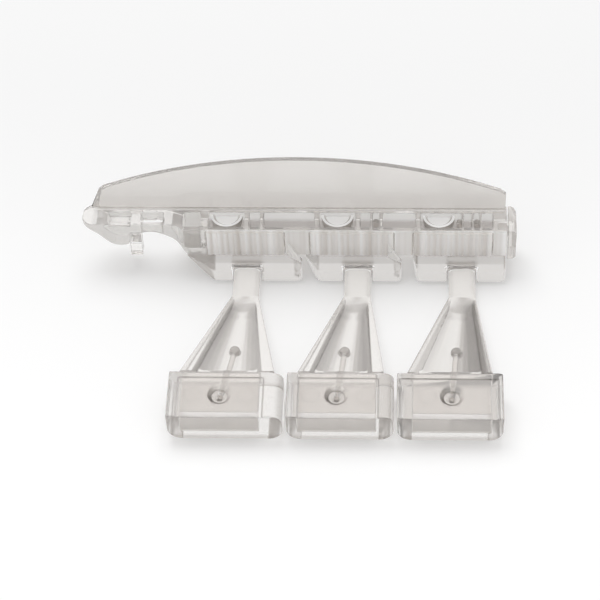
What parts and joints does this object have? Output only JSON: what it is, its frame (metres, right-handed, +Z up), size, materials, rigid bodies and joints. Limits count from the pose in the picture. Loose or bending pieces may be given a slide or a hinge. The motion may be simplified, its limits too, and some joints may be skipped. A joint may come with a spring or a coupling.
{
  "type": "light guide",
  "caption": "Clear moulded light guide with an arched blade on a pocketed rail and hinged keys on scooped arms.",
  "frame": {"origin": "middle of the footprint, on the table that the blocks and sockets stand on", "axes": "+X along the rail towards the end clip, +Y from the key blocks to the rail, +Z up from the table"},
  "size_m": [0.0782, 0.0448, 0.0236],
  "materials": {
    "clear_acrylic": "clear, moulded",
    "clear_lens": "clear, polished",
    "clear_pin": "clear, turned"
  },
  "bodies": {
    "guide": {"carrier_rail": "clear_acrylic", "light_blade": "clear_acrylic", "collimator_1": "clear_lens", "collimator_2": "clear_lens", "collimator_3": "clear_lens", "rib_lens_1": "clear_lens", "rib_lens_2": "clear_lens", "rib_lens_3": "clear_lens", "locating_post_1": "clear_pin", "locating_post_2": "clear_pin", "locating_post_3": "clear_pin", "socket_1": "clear_acrylic", "socket_2": "clear_acrylic", "socket_3": "clear_acrylic", "end_clip": "clear_acrylic", "locating_foot": "clear_pin", "hinge_pin_1": "clear_pin", "hinge_pin_2": "clear_pin", "hinge_pin_3": "clear_pin"},
    "key_1": {"arm_1": "clear_acrylic", "key_block_1": "clear_acrylic", "latch_pin_1": "clear_pin"},
    "key_2": {"arm_2": "clear_acrylic", "key_block_2": "clear_acrylic", "latch_pin_2": "clear_pin"},
    "key_3": {"arm_3": "clear_acrylic", "key_block_3": "clear_acrylic", "latch_pin_3": "clear_pin"}
  },
  "joints": [
    {"name": "key_1_hinge", "type": "hinge", "parent": "guide", "child": "key_1", "pos_m": [-0.00933, 0.01525, 0.0016], "axis": [-1, 0, 0], "range_deg": [0, 4]},
    {"name": "key_2_hinge", "type": "hinge", "parent": "guide", "child": "key_2", "pos_m": [0.01069, 0.01525, 0.0016], "axis": [-1, 0, 0], "range_deg": [0, 4]},
    {"name": "key_3_hinge", "type": "hinge", "parent": "guide", "child": "key_3", "pos_m": [0.0294, 0.01525, 0.0016], "axis": [-1, 0, 0], "range_deg": [0, 4]}
  ]
}
